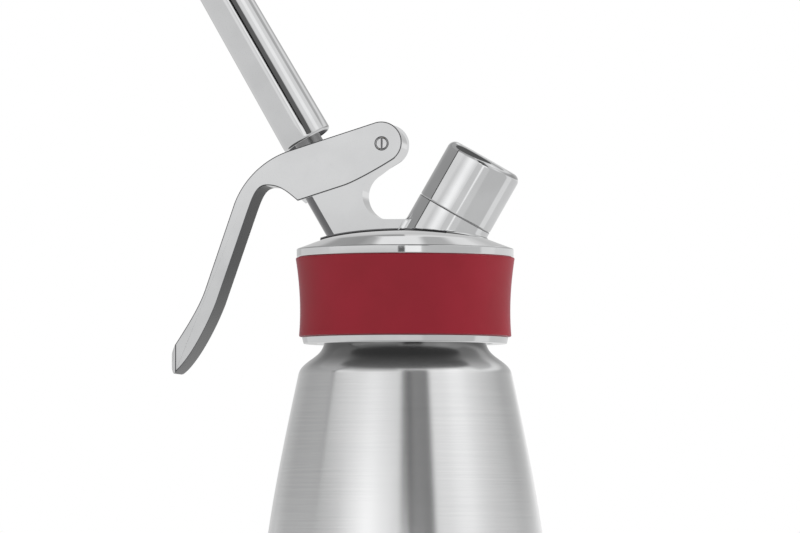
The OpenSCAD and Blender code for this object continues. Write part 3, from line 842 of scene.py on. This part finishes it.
def trigger_lever(material, shade_painted_material, deep_painted_shade_material):
    """Forked lever with its long trigger, cast in one piece."""
    body = plate(lever_outline(), -LEVER_HALF, LEVER_HALF)
    # The fork is hollow up to the web, which leans by about half of the squeeze
    tilt = math.tan(math.radians(8.5 / 2))
    far, back, web_s, web_end, play = 40, -12, 5.7, 9, 0.3
    hollow = [FOOT + a * ACROSS + b * ALONG for a, b in (
        (1.5 * back, -far), (back - 1.5, 2.3), (back, web_s - back * tilt),
        (web_end, web_s - web_end * tilt), (web_end, far), (far, far), (far, -far))]
    fork = plate(hollow, -ARM_HALF - play, ARM_HALF + play)
    # The stem passes through a slot, made of two round holes
    slot = [put(rod(4.9, 2, 32, 64), FOOT + shift * ACROSS, -SLANT) for shift in (0, 1.5)]
    # The trigger's end is round as seen from above
    heel_x, end_r = PIN[0] + HEEL_X, 18
    near_x, far_x, low, high = heel_x + 10, heel_x - 10, 125, 156
    end_block = plate(places((far_x, low), (near_x, low), (near_x, high), (far_x, high)), -14, 14)
    end_round = rod(end_r, 120, 160, 160)
    bmesh.ops.translate(end_round, verts=end_round.verts, vec=((heel_x + end_r) * MM, 0, 0))
    end_cut = combined(end_block, taken=[end_round])
    bore = laid_across(rod(2.0, -12, 12, 48))
    shape = combined(body, taken=[fork, *slot, end_cut, bore])
    # The rounded rims get painted shade, standing in for dark reflections on the edges
    rims = sharp_edges(shape, lambda edge: on_flat(edge, LEVER_HALF))
    bevel(shape, rims, 0.32, 3, finish=PAINTED_SHADE_SLOT)
    nose, arch = (PIN[0] - 30) * MM, 0.2005
    for face in shape.faces:
        middle = face.calc_center_median()
        # Painted shade on the underside between the nose and the pin
        if face.normal.z < -0.75 and middle.x > nose:
            face.material_index = PAINTED_SHADE_SLOT
        # Painted shade on the trigger's inner side, from the arch down to the toe
        below = middle.x < nose - 2 * MM and middle.z < arch
        if below and face.normal.x > 0.1 and abs(face.normal.y) < 0.3:
            face.material_index = INNER_SHADE_SLOT
    bmesh.ops.recalc_face_normals(shape, faces=shape.faces)
    finishes = [material, shade_painted_material, deep_painted_shade_material]
    return piece("trigger_lever", shape, finishes, "lever", "lever")


def slim_tip(material, deep_painted_shade_material):
    """Slim tip: hollow foot, collar round the stem's top, open bore, and a notched mouth that draws in."""
    start, length, mouth_length = 14.0, 70.7, 14
    neck_s = length - mouth_length
    foot_r, neck_r, mouth_r, wall = 8.25, 7.6, 5.4, 1.2
    foot_s, tube_steps = 0.9, 12
    outer = places((foot_r - 0.9, 0), (foot_r - 0.55, 0.05), (foot_r - 0.2, 0.35), (foot_r, foot_s))
    for i in range(1, tube_steps):
        outer.append(Vector((foot_r + (neck_r - foot_r) * i / tube_steps,
                             foot_s + (neck_s - foot_s) * i / tube_steps)))
    mouth = curve((neck_r, neck_s), (neck_r - 0.1, neck_s + 6),
                  (mouth_r + 1.1, length - 3), (mouth_r, length), 24)
    inner = [Vector((r - wall, s)) for r, s in reversed(mouth)]
    bore_start = 31 - start + 1.2
    recess = 21 - start
    inner += places((neck_r - wall, bore_start + 4), (3, bore_start + 1.5), (3, bore_start), (5, bore_start),
                    (5, recess), (foot_r - wall, recess - 1), (foot_r - wall, 0.3))
    bm = spun(outer + mouth + inner, 160, closed=True)
    # The mouth's points are drawn back into pointed notches
    depth, half_width, count = 9, 1.2, 8
    for vert in bm.verts:
        s = vert.co.z / MM
        if s > neck_s and vert.co.xy.length > 0:
            angle = math.atan2(vert.co.y, vert.co.x)
            share = (angle / (2 * math.pi) * count) % 1
            arc = abs(share - 0.5) * 2 * math.pi / count * mouth_r
            if arc < half_width:
                pull = depth * (1 - arc / half_width)
                vert.co.z -= pull * MM * max(0, (s - neck_s) / mouth_length)
    # Painted shade on the inner wall, and on the narrow faces at both ends
    for face in bm.faces:
        middle = face.calc_center_median()
        inward = face.normal.x * middle.x + face.normal.y * middle.y < -1e-6
        if inward or (abs(face.normal.z) > 0.6 and middle.xy.length < 6.9 * MM):
            face.material_index = PAINTED_SHADE_SLOT
    put(bm, FOOT + start * ALONG, -SLANT)
    return piece("slim_tip", bm, [material, deep_painted_shade_material], "tip", "decorator_tip")


def port_cap(material, shade_painted_material):
    """Protective cap of the port, with a rounded top edge."""
    top, radius, inner_top, gap = 20.2, 2.5, 12.8, 0.15
    outline = places((0, inner_top), (10.6, inner_top), (11, 12.4), (11, 0.4),
                     (12.3, gap), (12.62, 0.22), (12.75, 0.5))
    outline += bow((PORT_R - radius, top - radius + gap), radius, 0, 90, 16)
    outline += places((0, top + gap))
    bm = spun(outline, 160)
    # Painted shade on the lower rim, which lies in shade
    for face in bm.faces:
        if face.calc_center_median().z < 0.3 * MM:
            face.material_index = PAINTED_SHADE_SLOT
    put(bm, PORT, SLANT)
    return piece("port_cap", bm, [material, shade_painted_material], "cap", "protective_cap")


def slotted_screw(material, shade_painted_material):
    """Pivot screw with a chamfered head and a slot."""
    outline = rounded([(0, -8.9, 0), (1.62, -8.95, 0), (1.93, -8.55, 0.1),
                       (1.93, 8.55, 0.1), (1.62, 8.95, 0), (0, 8.9, 0)], 4)
    screw = laid_across(spun(outline, 64))
    slot_half = 0.33
    corners = places((-slot_half, -4), (slot_half, -4), (slot_half, 4), (-slot_half, 4))
    shape = combined(screw, taken=[plate([PIN + corner for corner in corners], -10, -8.2)])
    # Painted shade in the slot and on the chamfer
    for face in shape.faces:
        middle = face.calc_center_median()
        in_slot = -8.8 * MM < middle.y < -8.1 * MM and abs(middle.x - PIN[0] * MM) < 0.5 * MM
        if in_slot or 0.25 < abs(face.normal.y) < 0.9:
            face.material_index = PAINTED_SHADE_SLOT
    return piece("slotted_screw", shape, [material, shade_painted_material], "lever", "pivot_screw")


# ---------------------------------------------------------------- studio

def world_light():
    """White backdrop, with panels and a ring of light round the object that only the metal shows."""
    world = bpy.data.worlds.new("studio")
    bpy.context.scene.world = world
    shade = Shade(world)
    way = shade.node("ShaderNodeTexCoord", output=0)

    def dot(axis):
        return shade.node("ShaderNodeVectorMath", {"operation": "DOT_PRODUCT"}, [way, axis], output=1)

    in_degrees = 180 / math.pi
    turn = dot(SIDE_AXIS).math("ARCTAN2", dot(FRONT_AXIS)) * in_degrees
    rise = dot((0, 0, 1)).math("ARCSINE") * in_degrees
    # Each panel: from and to in degrees round the object (0 is the camera, + to the right),
    # lowest and highest edge in degrees, softness of the sides and of the edges, brightness
    panels = [
        (-181, 181, 50, 91, 2, 6, 0.12),     # dark ceiling
        (-181, 181, -91, -50, 2, 8, 0.10),   # dark below
        (-88, -8, 2.6, 33, 2, 0.5, 0.92),    # left soft box
        (-181, -10, 35, 50, 2, 4, 0.44),     # above it
        (20, 90, -50, 8, 6, 6, 0.66),        # right, low
        (30, 181, 26, 50, 8, 3, 0.90),       # right soft box
        (50, 72, 29, 44, 8, 4, 1.12),        # its middle
        (88, 112, -50, 5, 6, 4, 0.92),       # right edge light
        (112, 181, 0.2, 5, 10, 1, 0.86),     # backdrop, right
        (-181, -90, 6, 35, 1.5, 4, 0.38),    # left wing
        (-181, -146, -8, 8, 4, 1, 0.62),     # backdrop, left
        (100, 181, 33, 50, 6, 3, 0.54),      # behind, over the right box
        (-181, -175.6, 31, 44, 1.5, 3, 1.0),  # bright strip behind
        (177.2, 181, 31, 44, 1.5, 3, 1.0),   # its other half
    ]
    # Panels that stand before the ring
    front_panels = [
        (-4, 12, 15, 38, 4, 3, 0.0),         # dark gap over the camera
        (6, 26, 7, 38, 4, 3, 0.14),          # its lighter right part
        (-60, -2, 25.5, 33, 12, 4, 0.60),    # window left of it
        (-9, 3, 4, 14.5, 2, 2, 1.12),        # bright front, upper part
        (-0.5, 17, -8, 6, 2.5, 1.5, 1.20),   # bright front
        (-7.5, -0.5, 2.0, 2.9, 1.5, 0.4, 0.03),  # thin dark line at the lens
        (-91, -87, 22, 50, 1, 2, 0.06),      # edge of the wing
    ]
    # Ring of light that the bottle shows: direction in degrees round the object, and brightness
    ring = [
        (-180, 0.660), (-160, 0.49), (-142, 0.41), (-125, 0.36), (-106, 0.391), (-97, 0.408),
        (-85, 0.403), (-74, 0.438), (-62, 0.56), (-52, 0.84), (-36, 1.22), (-30, 1.22),
        (-22, 1.06), (-12, 0.88), (-6, 0.5), (-1, 0.079), (4, 0.027), (12, 0.041), (20, 0.103),
        (25, 0.62), (29, 0.74), (40, 0.80), (51, 0.94), (60, 0.956), (76, 0.716), (93, 0.543),
        (111, 0.451), (124, 0.391), (140, 0.414), (160, 0.529), (180, 0.630)]
    stops = [((angle + 180) / 360, (level,) * 3) for angle, level in ring]
    around = shade.node("ShaderNodeValToRGB", {"stops": stops}, [turn / 360 + 0.5])
    # Brightness where no panel stands, and the one that surfaces without gloss get
    value = shade.node("ShaderNodeValue")
    value.socket.default_value = 0.76
    plain = 0.8

    def panel_mask(left, right, low, high, soft_side, soft_edge):
        mask = shade.rise(turn, left - soft_side / 2, left + soft_side / 2)
        mask = mask * (1 - shade.rise(turn, right - soft_side / 2, right + soft_side / 2))
        mask = mask * shade.rise(rise, low - soft_edge / 2, low + soft_edge / 2)
        return mask * (1 - shade.rise(rise, high - soft_edge / 2, high + soft_edge / 2))

    def with_panels(value, stood):
        for *shape, level in stood:
            value = value + panel_mask(*shape) * (level - value)
        return value

    value = with_panels(value, panels)
    ring_mask = shade.rise(rise, 3, 7) * (1 - shade.rise(rise, 19, 25))
    value = value + ring_mask * (around - value)
    value = with_panels(value, front_panels)
    paths = shade.nodes.new("ShaderNodeLightPath")
    camera_ray = Value(shade, paths.outputs["Is Camera Ray"])
    glossy_ray = Value(shade, paths.outputs["Is Glossy Ray"])
    clear_ray = Value(shade, paths.outputs["Is Transmission Ray"])
    level = glossy_ray * value + (1 - glossy_ray) * plain
    open_ray = camera_ray.math("MAXIMUM", clear_ray)
    level = open_ray + (1 - open_ray) * level
    colour = shade.node("ShaderNodeCombineColor", None, [level, level, level])
    back = shade.node("ShaderNodeBackground", None, {"Color": colour, "Strength": 1.0})
    shade.node("ShaderNodeOutputWorld", None, {"Surface": back})


def floor():
    """Pale floor under the object."""
    bm = bmesh.new()
    bmesh.ops.create_circle(bm, cap_ends=True, segments=96, radius=3)
    mesh = bpy.data.meshes.new("floor")
    bm.to_mesh(mesh)
    bm.free()
    material = bpy.data.materials.new("pale_floor")
    shade = Shade(material)
    place = shade.object_place()
    cloud = shade.noise(place, 3, 2, 0.5)
    tone = shade.mix(cloud, (0.86, 0.86, 0.86, 1), (0.9, 0.9, 0.9, 1))
    principled(shade, {"Roughness": 0.8}, {"Base Color": tone})
    mesh.materials.append(material)
    made = bpy.data.objects.new("floor", mesh)
    bpy.context.scene.collection.objects.link(made)


def lamp(name, place, size, power):
    """Round soft lamp that points at the object and isn't seen in the metal."""
    data = bpy.data.lights.new(name, "AREA")
    data.shape = "DISK"
    data.size = size
    data.energy = power
    made = bpy.data.objects.new(name, data)
    made.location = place
    aim = Vector((0, 0, 0.15)) - Vector(place)
    made.rotation_euler = aim.to_track_quat("-Z", "Y").to_euler()
    made.visible_glossy = False
    bpy.context.scene.collection.objects.link(made)


def camera():
    """Camera at the photo's viewing angle."""
    data = bpy.data.cameras.new("camera")
    data.lens = LENS
    data.sensor_width = SENSOR_WIDTH
    data.sensor_fit = "HORIZONTAL"
    data.clip_end = 50
    made = bpy.data.objects.new("camera", data)
    place = SIDE_AXIS * VIEW_OFFSET + FRONT_AXIS * VIEW_DISTANCE + Vector((0, 0, VIEW_HEIGHT))
    made.location = place * MM
    made.rotation_euler = (math.pi / 2 + VIEW_PITCH, 0, VIEW_TURN)
    bpy.context.scene.collection.objects.link(made)
    bpy.context.scene.camera = made


camera()
bpy.context.scene.view_settings.view_transform = "Standard"
world_light()
floor()
lamp("key", (-0.9, -1.6, 1.1), 0.9, 9)
lamp("right", (1.5, 0.5, 0.3), 0.6, 14)

brushed = brushed_steel()
polished = polished_steel()
# Dark copies of the polished steel that carry painted shade: on shaded faces, rounded edges and in hollows
shade_painted_steel = polished_steel("shade_painted_steel", (0.16, 0.16, 0.165), 0.2)
# Painted shade inside the tip's hollow and on its narrow ends
deep_painted_shade_steel = polished_steel("deep_painted_shade_steel", (0.10, 0.10, 0.105), 0.3)
# Painted shade: the valve's steel gets a dark tint, as the stem lies in shade under the tip
painted_shade_valve = turned_steel("turned_steel_valve", (0, SLANT, 0), 0.26)
port_steel = turned_steel("turned_steel_port", (0, -SLANT, 0))
pin_steel = turned_steel("turned_steel_pin", (math.pi / 2, 0, 0), 0.85)
red = silicone("red_silicone", (0.224, 0.005, 0.014), (0.254, 0.006, 0.018))
black = silicone("black_rubber", (0.02, 0.02, 0.02), (0.035, 0.035, 0.035))
bearing = brass()

bottle_shell(brushed)
head_shell(polished)
head_casting(polished, shade_painted_steel)
port_flare(polished, shade_painted_steel)
silicone_band(red)
trigger_lever(polished, shade_painted_steel, shade_painted_trigger_steel())
slim_tip(polished, deep_painted_shade_steel)
port_cap(polished, shade_painted_steel)
slotted_screw(pin_steel, shade_painted_steel)

finishes = {
    "head_gasket": red, "valve_seal": red, "check_valve": red, "cap_liner": red,
    "lower_oring": black, "upper_oring": black, "tip_gasket": black, "charger_gasket": black,
    "valve_stem": painted_shade_valve, "return_spring": painted_shade_valve, "spring_seat": painted_shade_valve,
    "spring_collar": painted_shade_valve, "guide_bush": painted_shade_valve, "thrust_washer": painted_shade_valve,
    "piercing_pin": port_steel, "pivot_bush": bearing, "gas_filter": bearing,
    "bottle": brushed, "head_body": polished, "lever": polished, "decorator_tip": polished,
    "protective_cap": polished, "pivot_screw": pin_steel, "grip_band": red,
}
for node, finish in finishes.items():
    mesh = frame["nodes"][node].data
    mesh.materials.clear()
    mesh.materials.append(finish)

# The metal shows only the studio: neither the other pieces nor the floor
for thing in bpy.data.objects:
    if thing.type == "MESH":
        thing.visible_glossy = False
